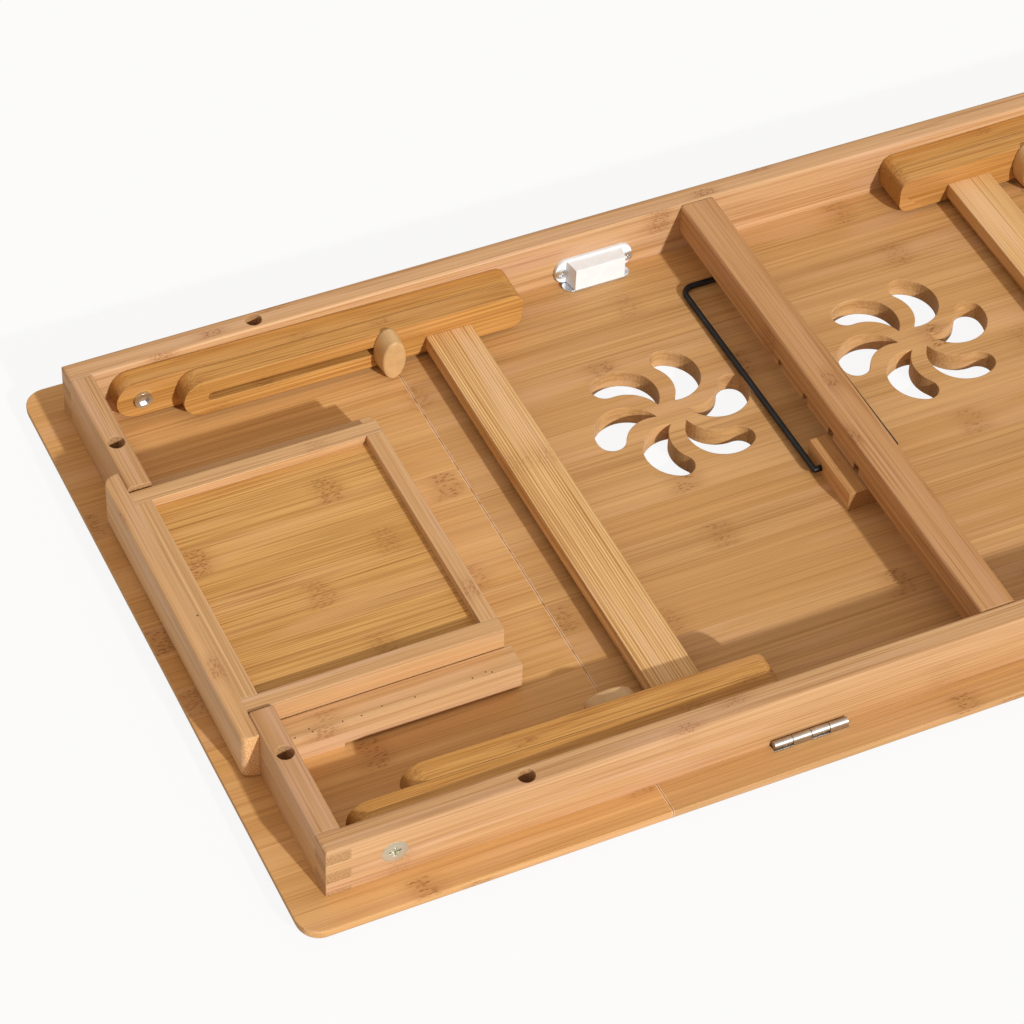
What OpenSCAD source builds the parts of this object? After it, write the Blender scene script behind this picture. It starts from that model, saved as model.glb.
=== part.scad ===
// Folding bamboo bed table for a laptop: a three-part top with a tilting, vented
// centre panel, a finger-jointed frame, a side drawer and two pairs of
// telescoping legs. It lies upside down on its working face, as it is stored:
// Z = 0 is the working face, +X runs along the table, +Y from the hinged front
// rail to the back rail, and the drawer opens towards -X. Millimetres.

/* [Table top] */
// Length of the top, left to right
top_l = 686; // [660:1:760]
// Depth of the top, front to back
top_d = 350; // [340:1:400]
// Thickness of the three top panels
top_t = 10; // [9:0.5:14]
// Plan radius of the four outer corners
top_corner_r = 11; // [9:0.5:16]
// Roundover of the outer edge on the working face
top_edge_r = 8.5; // [3:0.5:8.5]
// Length of the tilting centre panel
tilt_l = 344.4; // [330:0.2:356]
// Gap between the tilting panel and each fixed panel
seam_gap = 0.2; // [0.1:0.1:1.5]
// How far the top stands out beyond the frame
overhang = 16.5; // [14:0.5:20]

/* [Fan vents] */
// Distance of each fan vent from the middle of the pair, along the table
vent_x = 65.4; // [58:0.2:76]
// Middle of the pair of vents, right of the middle of the panel
vent_mid = 2; // [-5:0.2:5]
// Distance of the fan vents behind the middle of the panel
vent_y = 44; // [0:1:70]
// Petals in each fan vent
petal_count = 6; // [4:1:6]
// Radius of a petal's convex back
petal_back_r = 17.3; // [16:0.1:18]
// Radius of a petal's rounded outer end
petal_end_r = 6.97; // [6:0.1:8]
// Distance from the fan's centre to the centre of a petal's back
petal_back_x = 24.6; // [24:0.1:26]
// Height of that centre beside the petal's own axis
petal_back_y = 5; // [4:0.1:6]
// Distance from the fan's centre to the centre of a petal's hollow side
petal_hollow_x = 12.8; // [12:0.1:14]
// Height of that centre beside the petal's own axis
petal_hollow_y = 16.6; // [16:0.1:18]
// Direction of the outer end, seen from the centre of the back
petal_end_turn = 6; // [0:1:12]

/* [Frame] */
// Height of the frame's rails
rail_h = 28; // [26:1:36]
// Thickness of the frame's rails
rail_t = 11.5; // [11:0.5:14]
// Roundover of the rails' free edges
rail_round = 1.6; // [0.5:0.1:2.5]
// Height of the lowest finger of the corner joints
finger_first = 2; // [1:0.5:4]
// Height of the other fingers
finger_h = 6; // [4:0.5:8]
// Width of the notched crossbar
bar_w = 18; // [12:0.5:24]
// Height of the crossbar
bar_h = 16; // [12:0.5:16]
// Notches under the crossbar
notch_count = 4; // [2:1:5]
// Distance between notches
notch_pitch = 25; // [15:0.5:30]
// Middle of the row of notches, front to back
notch_mid = 2; // [-10:0.5:20]
// Width of a notch
notch_w = 4.7; // [3.5:0.1:8]
// Depth of a notch
notch_d = 4.5; // [2:0.1:8]

/* [Frame screws] */
// Distance of the long rails' screws from the middle of the table
screw_x = 232.5; // [200:0.5:270]
// Distance of the end rails' screws from the middle of the table
screw_y = 101; // [90:0.5:115]
// Diameter of the screw holes' wide upper part
counterbore_d = 8; // [6:0.1:9]
// Depth of that upper part
counterbore_depth = 16; // [8:0.5:20]
// Diameter of a screw's head
screw_head_d = 6.8; // [4.5:0.1:7.5]
// Height of a screw's head
screw_head_h = 2.2; // [1:0.1:3]
// Diameter of a screw's shank
screw_shank_d = 3.8; // [2:0.1:4.2]
// How deep a screw bites into the top
screw_bite = 6; // [3:0.5:7]

/* [Legs] */
// Width of the leg boards
leg_w = 20.5; // [16:0.5:22]
// Thickness of the leg boards
leg_t = 10.5; // [8:0.5:12]
// Gap between a leg board and the rail or board beside it
leg_gap = 0.3; // [0.2:0.1:1]
// Distance of the leg pivots from the ends of the frame
pivot_in = 31.4; // [30:0.1:36]
// Height of the leg pivots above the panels
pivot_h = 14.5; // [13.8:0.1:16]
// Slope of the folded legs towards the panels, in degrees
leg_slope = 0.85; // [0:0.05:1]
// How far an upper board runs past its pivot
upper_tail = 12.9; // [11.5:0.1:16]
// Distance from the pivot to the boards' free ends
leg_reach = 191; // [175:1:200]
// Distance from the pivot to the rounded start of a lower board
lower_start = 16.5; // [12:0.5:20]
// Corner radius of the boards' free ends
foot_r = 6.5; // [2:0.5:8]
// Width of the slot in a lower board
slot_w = 4.8; // [4.6:0.1:6]
// Distance from the pivot to the start of the slot
slot_start = 28.6; // [26:0.1:40]
// Distance from the pivot to the end of the slot
slot_end = 125; // [123:0.5:135]
// Distance from the pivot to the stretcher
stretcher_at = 140; // [134:0.5:155]
// Width of the stretcher
stretcher_w = 23.5; // [15:0.5:27]
// Thickness of the stretcher
stretcher_t = 8; // [5:0.5:8]

/* [Leg hardware] */
// Diameter of the sleeve nut that a leg turns on
sleeve_d = 7; // [5:0.1:8]
// Diameter of the sleeve nut's flat head
sleeve_head_d = 9; // [8.5:0.1:14]
// Thickness of the sleeve nut's head
sleeve_head_t = 1.6; // [0.8:0.1:3]
// How deep the sleeve nut enters the rail
sleeve_bite = 4; // [2:0.5:5]
// Diameter of the pivot screw's countersunk head
pivot_head_d = 12; // [9:0.5:12.5]
// Depth of that head
pivot_head_h = 3.4; // [2:0.1:3.6]
// Diameter of the pivot screw's shank
pivot_shank_d = 4; // [3:0.1:4.4]
// Distance from the pivot to the clamp bolt
bolt_at = 119.3; // [110:0.1:120]
// Diameter of the clamp bolts
bolt_d = 4.4; // [3:0.1:4.5]
// Diameter of a clamp bolt's sunk head
bolt_head_d = 10; // [7:0.5:13]
// Thickness of a clamp bolt's head
bolt_head_t = 2; // [1:0.1:3]

/* [Clamp knobs] */
// Length of a knob across its grip
knob_l = 24.6; // [20:0.1:24.8]
// Width of a knob at its foot
knob_w = 13.6; // [11:0.1:14]
// How much narrower each side of a knob is at its top
knob_taper = 0.7; // [0.3:0.1:1.5]
// Height of a knob
knob_h = 10; // [7:0.5:14]
// Roundover of a knob's top
knob_round = 1.2; // [0.5:0.1:2]

/* [Hinges] */
// Distance of the hinges from the middle of the table
hinge_x = 98.6; // [60:0.2:130]
// Length of a hinge
hinge_l = 36.5; // [28:0.5:50]
// Diameter of a hinge's barrel
barrel_d = 3.8; // [3:0.1:5]
// Thickness of a hinge's leaves
leaf_t = 1; // [0.6:0.1:1.4]
// Depth of a leaf under the rail
leaf_w = 10.5; // [8:0.5:11]
// Diameter of a hinge's pin
pin_d = 1.8; // [1:0.1:2]

/* [Catch] */
// Length of the catch's flange
catch_l = 41; // [36:0.5:50]
// Height of the catch's flange
catch_flange_h = 13.7; // [11:0.1:16]
// Thickness of the flange
catch_flange_t = 2; // [1:0.1:3]
// Length of the catch's housing at its root
catch_box_l = 30; // [26:0.5:32]
// Height of the housing
catch_box_h = 12.8; // [9:0.1:14]
// How far the housing stands out from the rail
catch_box_w = 9.8; // [8:0.1:10]
// Length of the steel strike plate
strike_l = 35.7; // [30:0.1:45]
// Width of the strike plate
strike_w = 9; // [7:0.1:9.5]
// Thickness of the strike plate
strike_t = 1.2; // [0.8:0.1:1.5]

/* [Prop bail] */
// Diameter of the wire
wire_d = 3; // [2:0.1:4]
// Distance from the bail's pivot to its far cross piece
bail_l = 138; // [110:1:140]
// Distance between the middles of the bail's arms
bail_w = 43; // [40:0.5:60]
// Bend radius of the bail's far corners
bail_bend = 6; // [3:0.5:12]
// Length of the pivot block, front to back
block_d = 39.2; // [30:0.2:50]
// Width of the pivot block
block_w = 36; // [24:0.5:36]
// Height of the pivot block
block_h = 11; // [8:0.5:11.5]
// Middle of the pivot block, front to back
block_y = -27.1; // [-40:0.1:0]
// Distance of the bail's pivot behind the middle of the block
bail_pivot_y = 7.1; // [0:0.1:12]
// Height of the bail's pivot above the panel
bail_pivot_h = 4; // [3:0.1:6]

/* [Drawer] */
// Width of the gap that the drawer passes between the end rail's stubs
drawer_gap = 145.6; // [120:0.2:150]
// Middle of that gap, front to back
drawer_y = -1.4; // [-5:0.2:5]
// Gap between the drawer and the stubs
drawer_play = 1.7; // [0.4:0.1:2.5]
// Gap between the drawer and its runners
runner_play = 0.8; // [0.4:0.1:1.5]
// Length of the drawer's box
drawer_l = 121; // [80:1:125]
// Thickness of the drawer's walls
drawer_wall = 8; // [6:0.5:10]
// Height of the drawer's box
drawer_h = 24.8; // [20:0.1:25]
// Gap between the drawer and the top
drawer_lift = 1.6; // [1:0.1:3]
// Width of the drawer's face board
face_w = 170; // [150:0.5:172]
// Thickness of the face board
face_t = 8; // [6:0.5:9]
// Plan radius of the face board's outer edge at its back end
face_back_r = 5.5; // [1:0.5:5.5]
// Plan radius of that edge at its front end
face_front_r = 1.5; // [0.5:0.5:5.5]
// Radius of the face board's two corners beside the top
face_corner_r = 5; // [1:0.5:9]
// Thickness of the drawer's bottom
bottom_t = 3; // [2:0.5:4]
// How deep the bottom lies inside the drawer's free edge
bottom_in = 5; // [3:0.5:7]
// How deep the bottom enters the walls
bottom_bite = 3; // [2:0.5:4]
// Width of the runners beside the drawer
runner_w = 12.5; // [9:0.5:14]
// Height of the runners
runner_h = 15.5; // [11:0.5:18]
// How far the runners reach past the box's end
runner_past = 3; // [0:0.5:10]
// Height of the tongue above the panel
tongue_z = 4; // [3:0.5:6]
// Thickness of the tongue
tongue_h = 3; // [2:0.5:4]
// How far the tongue stands out of the runner
tongue_w = 4.6; // [3:0.1:5]
// Depth of the rebate along a runner's foot
rebate = 2; // [1:0.5:4]

/* [Hidden] */
$fn = 64;

over = 1; // how far a cutter passes the face it cuts
fit = 0.05; // radial clearance of a shaft in its hole
seat = 0.1; // clearance of a plate in its mortise
clear = 0.3; // clearance between pieces that move past each other

frame_l = top_l - 2 * overhang;
frame_d = top_d - 2 * overhang;
inner_l = frame_l - 2 * rail_t;
inner_d = frame_d - 2 * rail_t;
rail_top = top_t + rail_h;
far = top_l; // longer than anything that is cut

pivot_x = frame_l / 2 - pivot_in;
pivot_z = top_t + pivot_h;
upper_out = inner_d / 2 - leg_gap; // outer face of the upper boards
upper_in = upper_out - leg_t;
lower_out = upper_in - leg_gap;
lower_in = lower_out - leg_t;

barrel_r = barrel_d / 2;
hinge_y = -frame_d / 2 - barrel_r - clear;
hinge_z = top_t + clear + barrel_r;
knuckles = 4;
knuckle_l = hinge_l / knuckles;
leaf_screw_x = hinge_l / 3; // the leaves' screws, either side of the hinge's middle
leaf_screw_y = -frame_d / 2 + leaf_w / 2;

leg_tip_x = pivot_x - leg_reach * cos(leg_slope);
catch_x = (leg_tip_x + bar_w / 2) / 2; // midway between the left leg's tip and the crossbar

pivot_y = block_y + bail_pivot_y;
bail_dip = asin((bail_pivot_h - wire_d / 2 - clear) / bail_l);

drawer_w = drawer_gap - 2 * drawer_play;
drawer_z = top_t + drawer_lift;
drawer_x = -frame_l / 2; // where the face board meets the box
runner_in = drawer_w / 2 + runner_play;
runner_l = drawer_l - rail_t + runner_past;
groove_z = top_t + tongue_z;

WOOD = "BurlyWood";
WOOD_DARK = "Tan";
STEEL = "Silver";
WIRE = "DimGray";
IVORY = "Ivory";

// ---- placing -------------------------------------------------------------

module on_side(side) {
    if (side < 0) children();
    else mirror([1, 0, 0]) children();
}

module at_back(back) {
    if (back) children();
    else mirror([0, 1, 0]) children();
}

module both_sides() {
    children();
    mirror([1, 0, 0]) children();
}

module both_rails() {
    children();
    mirror([0, 1, 0]) children();
}

// Section in the YZ plane, run along X between x0 and x1
module along_x(x0, x1) {
    translate([x0, 0, 0]) rotate([90, 0, 90]) linear_extrude(x1 - x0) children();
}

// Section in the XZ plane, run along Y between y0 and y1
module along_y(y0, y1) {
    translate([0, y1, 0]) rotate([90, 0, 0]) linear_extrude(y1 - y0) children();
}

// Rod along Y between y0 and y1
module rod_y(y0, y1, r) {
    translate([0, y1, 0]) rotate([90, 0, 0]) cylinder(h = y1 - y0, r = r);
}

// ---- table top -----------------------------------------------------------

// Outer part of the top's section: x outwards from a corner's centre
module edge_section() {
    difference() {
        square([top_corner_r, top_t]);
        difference() {
            translate([top_corner_r - top_edge_r, -over]) square([top_edge_r + over, top_edge_r + over]);
            translate([top_corner_r - top_edge_r, top_edge_r]) circle(r = top_edge_r);
        }
    }
}

// Whole section of a panel that is w wide
module panel_section(w) {
    run = w / 2 - top_corner_r;
    translate([-run, 0]) square([2 * run, top_t]);
    translate([run, 0]) edge_section();
    mirror([1, 0]) translate([run, 0]) edge_section();
}

module fixed_blank() {
    inside = tilt_l / 2 + seam_gap;
    corner_x = top_l / 2 - top_corner_r;
    corner_y = top_d / 2 - top_corner_r;
    along_x(-corner_x, -inside) panel_section(top_d);
    intersection() {
        along_y(-corner_y, corner_y) panel_section(top_l);
        translate([-top_l / 2, -corner_y, 0]) cube([top_l / 2 - inside, 2 * corner_y, top_t]);
    }
    both_rails() translate([-corner_x, corner_y, 0]) rotate_extrude() edge_section();
}

module top_fixed(side) {
    color(WOOD)
    on_side(side)
    difference() {
        fixed_blank();
        screw_places() translate([0, 0, top_t - screw_bite]) cylinder(h = far, d = screw_shank_d + 2 * fit);
    }
}

// A petal has a convex back, a rounded outer end that runs smoothly into it, and
// a hollow side that touches the end and meets the back in a sharp tip
back_c = [petal_back_x, petal_back_y];
hollow_c = [petal_hollow_x, petal_hollow_y];
end_c = back_c + (petal_back_r - petal_end_r) * [cos(petal_end_turn), sin(petal_end_turn)];
hollow_r = norm(end_c - hollow_c) - petal_end_r;

function turn_of(v) = atan2(v[1], v[0]);
function arc(c, r, a0, a1, n) = [for (i = [0 : n - 1]) c + r * [cos(a0 + (a1 - a0) * i / n), sin(a0 + (a1 - a0) * i / n)]];

// Where two circles cross, to the left of the line from the first centre to the second
function crossing(c1, r1, c2, r2) =
    let (d = norm(c2 - c1), u = (c2 - c1) / d, a = (d * d + r1 * r1 - r2 * r2) / (2 * d))
    c1 + a * u + sqrt(r1 * r1 - a * a) * [-u[1], u[0]];

// Outline of a petal whose wall stands out by grow
function petal_outline(grow) =
    let (
        back_r = petal_back_r + grow,
        side_r = hollow_r - grow,
        tip = crossing(back_c, back_r, hollow_c, side_r),
        hollow_turn = turn_of(hollow_c - end_c)
    )
    concat(
        arc(back_c, back_r, turn_of(tip - back_c), petal_end_turn, 24),
        arc(end_c, petal_end_r + grow, petal_end_turn, hollow_turn, 12),
        arc(hollow_c, side_r, hollow_turn - 180, turn_of(tip - hollow_c), 12)
    );

module petal() {
    translate([0, 0, -over]) linear_extrude(top_t + 2 * over) polygon(petal_outline(0));
}

module fan_vent() {
    for (k = [0 : petal_count - 1]) rotate([0, 0, k * 360 / petal_count]) petal();
}

module top_tilting() {
    color(WOOD)
    difference() {
        along_x(-tilt_l / 2, tilt_l / 2) panel_section(top_d);
        for (x = [vent_mid - vent_x, vent_mid + vent_x]) translate([x, vent_y, 0]) fan_vent();
        for (x = [-hinge_x, hinge_x]) {
            translate([x, 0, 0]) panel_mortise();
            leaf_screw_places(x) cylinder(h = 2 * leaf_screw_l, d = leaf_screw_d + 2 * fit, center = true);
        }
        strike_screw_places() cylinder(h = 2 * strike_screw_l, d = strike_screw_d + 2 * fit, center = true);
    }
}

// ---- frame ---------------------------------------------------------------

// Section of a bar that is w wide and h high with rounded upper edges
module round_top(w, h, r) {
    translate([-w / 2, 0]) square([w, h - r]);
    translate([-w / 2 + r, 0]) square([w - 2 * r, h]);
    for (s = [-1, 1]) translate([s * (w / 2 - r), h - r]) circle(r = r);
}

// Section of a well that is w wide with flaring upper edges
module flared_top(w, h, r) {
    translate([-w / 2, -over]) square([w, h + 2 * over]);
    difference() {
        translate([-w / 2 - r, h - r]) square([w + 2 * r, r + over]);
        for (s = [-1, 1]) translate([s * (w / 2 + r), h - r]) circle(r = r);
    }
}

module frame_blank() {
    translate([0, 0, top_t])
    difference() {
        intersection() {
            along_x(-frame_l / 2, frame_l / 2) round_top(frame_d, rail_h, rail_round);
            along_y(-frame_d / 2, frame_d / 2) round_top(frame_l, rail_h, rail_round);
        }
        intersection() {
            along_x(-frame_l / 2, frame_l / 2) flared_top(inner_d, rail_h, rail_round);
            along_y(-frame_d / 2, frame_d / 2) flared_top(inner_l, rail_h, rail_round);
        }
    }
}

// The corner's fingers that belong to the end rails, counted upwards
module end_fingers() {
    x = frame_l / 2 - rail_t;
    y = frame_d / 2 - rail_t;
    both_sides() both_rails()
    translate([x, y, top_t]) {
        translate([0, 0, -over]) cube([rail_t + over, rail_t + over, finger_first + over]);
        for (z = [finger_first + finger_h : 2 * finger_h : rail_h - finger_h])
            translate([0, 0, z]) cube([rail_t + over, rail_t + over, finger_h]);
    }
}

// Room that the end rails fill, fingers aside
module end_room() {
    both_sides()
    translate([inner_l / 2, -inner_d / 2, 0]) cube([rail_t + over, inner_d, rail_top + over]);
}

module long_room() {
    both_rails()
    translate([-frame_l / 2 - over, inner_d / 2, 0]) cube([frame_l + 2 * over, rail_t + over, rail_top + over]);
}

module screw_places() {
    both_rails() translate([-screw_x, (frame_d - rail_t) / 2, 0]) children();
    both_rails() translate([-(frame_l - rail_t) / 2, screw_y, 0]) children();
}

module screw_holes() {
    both_sides() screw_places() {
        cylinder(h = far, d = screw_shank_d + 2 * fit);
        translate([0, 0, rail_top - counterbore_depth]) cylinder(h = far, d = counterbore_d);
    }
}

module frame_screws() {
    color(STEEL)
    both_sides() screw_places() {
        translate([0, 0, top_t - screw_bite + seat])
            cylinder(h = rail_h + screw_bite - counterbore_depth - seat, d = screw_shank_d);
        translate([0, 0, rail_top - counterbore_depth]) cylinder(h = screw_head_h, d = screw_head_d);
    }
}

module long_rails() {
    difference() {
        intersection() {
            frame_blank();
            long_room();
        }
        end_fingers();
        screw_holes();
        both_sides() pivot_holes();
        front_mortises();
    }
}

module front_mortises() {
    for (x = [-hinge_x, hinge_x]) {
        translate([x, 0, 0]) rail_mortise();
        leaf_screw_places(x) cylinder(h = 2 * (leaf_screw_l + clear), d = leaf_screw_d + 2 * fit, center = true);
    }
}

module rail_front() {
    color(WOOD)
    intersection() {
        long_rails();
        translate([-far / 2, -frame_d, 0]) cube([far, frame_d, far]);
    }
}

module rail_back() {
    color(WOOD)
    difference() {
        intersection() {
            long_rails();
            translate([-far / 2, 0, 0]) cube([far, frame_d, far]);
        }
        catch_screw_places() cylinder(h = 2 * catch_screw_l, d = catch_screw_d + 2 * fit, center = true);
    }
}

module end_rails() {
    difference() {
        intersection() {
            frame_blank();
            union() {
                end_room();
                end_fingers();
            }
        }
        screw_holes();
    }
}

module left_stub(back) {
    color(WOOD)
    intersection() {
        end_rails();
        at_drawer() at_back(back) translate([-frame_l, drawer_gap / 2, 0]) cube([frame_l, frame_d, far]);
    }
}

module rail_right() {
    color(WOOD)
    intersection() {
        end_rails();
        translate([0, -far / 2, 0]) cube(far);
    }
}

module crossbar() {
    first = notch_mid - notch_pitch * (notch_count - 1) / 2;
    color(WOOD)
    difference() {
        translate([0, 0, rail_top - bar_h]) along_y(-inner_d / 2, inner_d / 2) round_top(bar_w, bar_h, rail_round);
        for (k = [0 : notch_count - 1])
            translate([-bar_w, first + k * notch_pitch - notch_w / 2, rail_top - bar_h - over])
                cube([2 * bar_w, notch_w, notch_d + over]);
    }
}

// ---- hinges --------------------------------------------------------------

leaf_screw_d = 2.4;
leaf_screw_l = 6;
leaf_head_d = 5;

module leaf_screw_places(x) {
    for (s = [-1, 1]) translate([x + s * leaf_screw_x, leaf_screw_y, top_t]) children();
}

// Leaf plate from the barrel's side to its inner edge; grow widens the mortise
module leaf_plate(from_y, z, t, grow) {
    back_y = -frame_d / 2 + leaf_w;
    translate([-hinge_l / 2 - grow, from_y - grow, z]) cube([hinge_l + 2 * grow, back_y - from_y + 2 * grow, t]);
}

module rail_mortise() {
    leaf_plate(-frame_d / 2 - over, top_t - over, leaf_t + clear + over, seat);
}

module panel_mortise() {
    leaf_plate(hinge_y - barrel_r, top_t - leaf_t, leaf_t + over, seat);
}

module knuckle(k) {
    translate([-hinge_l / 2 + k * knuckle_l + clear / 2, hinge_y, hinge_z])
        rotate([0, 90, 0]) cylinder(h = knuckle_l - clear, r = barrel_r);
}

module pin_bore() {
    translate([-hinge_l, hinge_y, hinge_z]) rotate([0, 90, 0]) cylinder(h = 2 * hinge_l, d = pin_d + 2 * fit);
}

module hinge_frame_leaves() {
    z = top_t + clear;
    color(STEEL)
    for (x = [-hinge_x, hinge_x]) difference() {
        translate([x, 0, 0])
        difference() {
            union() {
                leaf_plate(-frame_d / 2 + clear, z, leaf_t, 0);
                for (k = [0 : 2 : knuckles - 1]) {
                    knuckle(k);
                    translate([-hinge_l / 2 + k * knuckle_l + clear / 2, hinge_y, z])
                        cube([knuckle_l - clear, barrel_r + 3 * clear, leaf_t]);
                }
            }
            pin_bore();
        }
        leaf_screw_places(x) translate([0, 0, clear - over])
            cylinder(h = leaf_t + 2 * over, d = leaf_screw_d + 2 * fit);
        leaf_screw_places(x) translate([0, 0, clear])
            cylinder(h = leaf_t, d1 = leaf_head_d + 2 * fit, d2 = leaf_screw_d + 2 * fit);
    }
}

module hinge_panel_leaves() {
    z = top_t - leaf_t;
    color(STEEL)
    for (x = [-hinge_x, hinge_x]) difference() {
        translate([x, 0, 0])
        difference() {
            union() {
                leaf_plate(hinge_y - barrel_r, z, leaf_t, 0);
                for (k = [1 : 2 : knuckles - 1]) {
                    knuckle(k);
                    translate([-hinge_l / 2 + k * knuckle_l + clear / 2, hinge_y - barrel_r, z])
                        cube([knuckle_l - clear, barrel_r, hinge_z - z]);
                }
            }
            pin_bore();
        }
        leaf_screw_places(x) translate([0, 0, -leaf_t - over])
            cylinder(h = leaf_t + 2 * over, d = leaf_screw_d + 2 * fit);
        leaf_screw_places(x) translate([0, 0, -leaf_t])
            cylinder(h = leaf_t, d1 = leaf_screw_d + 2 * fit, d2 = leaf_head_d + 2 * fit);
    }
}

module hinge_pins() {
    color(STEEL)
    for (x = [-hinge_x, hinge_x])
        translate([x - hinge_l / 2, hinge_y, hinge_z]) rotate([0, 90, 0]) cylinder(h = hinge_l, d = pin_d);
}

// Countersunk screw with its head's face at z = 0, pointing down
module leaf_screw() {
    translate([0, 0, -leaf_t]) cylinder(h = leaf_t, d1 = leaf_screw_d, d2 = leaf_head_d);
    translate([0, 0, -leaf_screw_l + seat]) cylinder(h = leaf_screw_l - leaf_t, d = leaf_screw_d);
}

module hinge_frame_screws() {
    color(STEEL)
    for (x = [-hinge_x, hinge_x])
        leaf_screw_places(x) translate([0, 0, clear]) mirror([0, 0, 1]) leaf_screw();
}

module hinge_panel_screws() {
    color(STEEL)
    for (x = [-hinge_x, hinge_x]) leaf_screw_places(x) leaf_screw();
}

// ---- magnetic catch ------------------------------------------------------

catch_z = top_t + strike_t + clear;
catch_screw_d = 2.8;
catch_screw_l = 8;
catch_head_d = 5.4;
catch_head_h = 1.6;
catch_taper = 1.6; // the housing is shorter by this at each end of its nose
magnet_l = 20;
magnet_w = 3.6;
magnet_h = 8;
pole_t = 1;
strike_y = inner_d / 2 - strike_w / 2 - clear;
strike_screw_d = 2.4;
strike_screw_l = 6;
strike_head_d = 4.6;

// Frame of the catch: origin on the back rail's inner face, y towards the table's middle
module at_catch() {
    translate([-catch_x, inner_d / 2, catch_z]) mirror([0, 1, 0]) children();
}

module catch_screw_places() {
    for (s = [-1, 1]) at_catch()
        translate([s * (catch_l + catch_box_l) / 4, 0, catch_flange_h / 2]) rotate([90, 0, 0]) children();
}

module catch_flange_outline() {
    ear_r = (catch_l - catch_box_l) / 2;
    translate([-catch_l / 2 + ear_r, 0]) square([catch_l - 2 * ear_r, catch_flange_h]);
    for (s = [-1, 1]) {
        translate([s * (catch_l / 2 - ear_r), ear_r]) circle(r = ear_r);
        translate([s * (catch_l / 2 - ear_r), catch_flange_h - ear_r]) circle(r = ear_r);
        translate([s * (catch_l / 2 - ear_r / 2) - ear_r / 2, ear_r]) square([ear_r, catch_flange_h - 2 * ear_r]);
    }
}

module catch_pocket(grow) {
    l = magnet_l + 2 * grow;
    w = magnet_w + 2 * pole_t + 2 * grow;
    translate([-l / 2, (catch_box_w + catch_flange_t - w) / 2, 0]) cube([l, w, magnet_h + grow]);
}

module catch_body() {
    half = catch_box_l / 2;
    color(IVORY)
    difference() {
        at_catch()
        difference() {
            union() {
                along_y(0, catch_flange_t) catch_flange_outline();
                linear_extrude(catch_box_h)
                    polygon([[-half, 0], [half, 0], [half - catch_taper, catch_box_w],
                             [-half + catch_taper, catch_box_w]]);
            }
            translate([0, 0, -over]) catch_pocket(seat);
            catch_pocket(seat);
        }
        catch_screw_places() cylinder(h = far, d = catch_screw_d + 2 * fit, center = true);
    }
}

module catch_magnet() {
    color(STEEL)
    at_catch() catch_pocket(0);
}

module catch_screws() {
    color(STEEL)
    catch_screw_places() {
        // local +z points into the rail
        difference() {
            union() {
                translate([0, 0, -catch_flange_t])
                    cylinder(h = catch_flange_t + catch_screw_l - seat, d = catch_screw_d);
                translate([0, 0, -catch_flange_t - catch_head_h]) cylinder(h = catch_head_h, d = catch_head_d);
            }
            translate([0, 0, -catch_flange_t - catch_head_h]) cross_recess(catch_head_d * 0.6, catch_head_h * 0.6);
        }
    }
}

module strike_screw_places() {
    for (s = [-1, 1]) translate([-catch_x + s * strike_l / 3, strike_y, top_t + strike_t]) children();
}

module strike_plate() {
    run = strike_l - strike_w;
    color(STEEL)
    difference() {
        translate([-catch_x, strike_y, top_t])
        linear_extrude(strike_t) {
            square([run, strike_w], center = true);
            for (s = [-1, 1]) translate([s * run / 2, 0]) circle(d = strike_w);
        }
        strike_screw_places() translate([0, 0, -strike_t])
            cylinder(h = strike_t, d1 = strike_screw_d + 2 * fit, d2 = strike_head_d + 2 * fit);
    }
}

module strike_screws() {
    color(STEEL)
    strike_screw_places() {
        translate([0, 0, -strike_t]) cylinder(h = strike_t, d1 = strike_screw_d, d2 = strike_head_d);
        translate([0, 0, -strike_screw_l + seat]) cylinder(h = strike_screw_l - strike_t, d = strike_screw_d);
    }
}

// ---- prop bail -----------------------------------------------------------

module at_bail() {
    translate([0, pivot_y, top_t + bail_pivot_h]) children();
}

module pivot_block() {
    color(WOOD_DARK)
    difference() {
        translate([-block_w / 2, block_y - block_d / 2, top_t]) cube([block_w, block_d, block_h]);
        at_bail() rotate([0, 90, 0]) cylinder(h = 2 * block_w, d = wire_d + 2 * fit, center = true);
    }
}

module bail() {
    arm_x = bail_w / 2;
    end_in = block_w / 3; // how far each wire end enters the block
    color(WIRE)
    at_bail() rotate([-bail_dip, 0, 0])
    both_sides() {
        translate([arm_x, 0, 0]) rotate([0, -90, 0]) cylinder(h = arm_x - block_w / 2 + end_in, d = wire_d);
        translate([arm_x, 0, 0]) sphere(d = wire_d);
        translate([arm_x, 0, 0]) rotate([-90, 0, 0]) cylinder(h = bail_l - bail_bend, d = wire_d);
        translate([arm_x - bail_bend, bail_l - bail_bend, 0])
            rotate_extrude(angle = 90) translate([bail_bend, 0]) circle(d = wire_d);
        translate([0, bail_l, 0]) rotate([0, 90, 0]) cylinder(h = arm_x - bail_bend, d = wire_d);
    }
}

// ---- legs ----------------------------------------------------------------

// Frame of a folded leg: origin on its pivot, x along the boards
module in_leg(side) {
    on_side(side) translate([-pivot_x, 0, pivot_z]) rotate([0, leg_slope, 0]) children();
}

// Board with a full-round start at x0 and a foot with rounded corners at x1
module board_outline(x0, x1) {
    half = leg_w / 2;
    translate([x0 + half, 0]) circle(r = half);
    translate([x0 + half, -half]) square([x1 - foot_r - x0 - half, leg_w]);
    translate([x1 - foot_r - over, -half + foot_r]) square([foot_r + over, leg_w - 2 * foot_r]);
    for (s = [-1, 1]) translate([x1 - foot_r, s * (half - foot_r)]) circle(r = foot_r);
}

module slot_outline() {
    translate([slot_start + slot_w / 2, -slot_w / 2]) square([slot_end - slot_start - slot_w, slot_w]);
    translate([slot_start + slot_w / 2, 0]) circle(d = slot_w);
    translate([slot_end - slot_w / 2, 0]) circle(d = slot_w);
}

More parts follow.
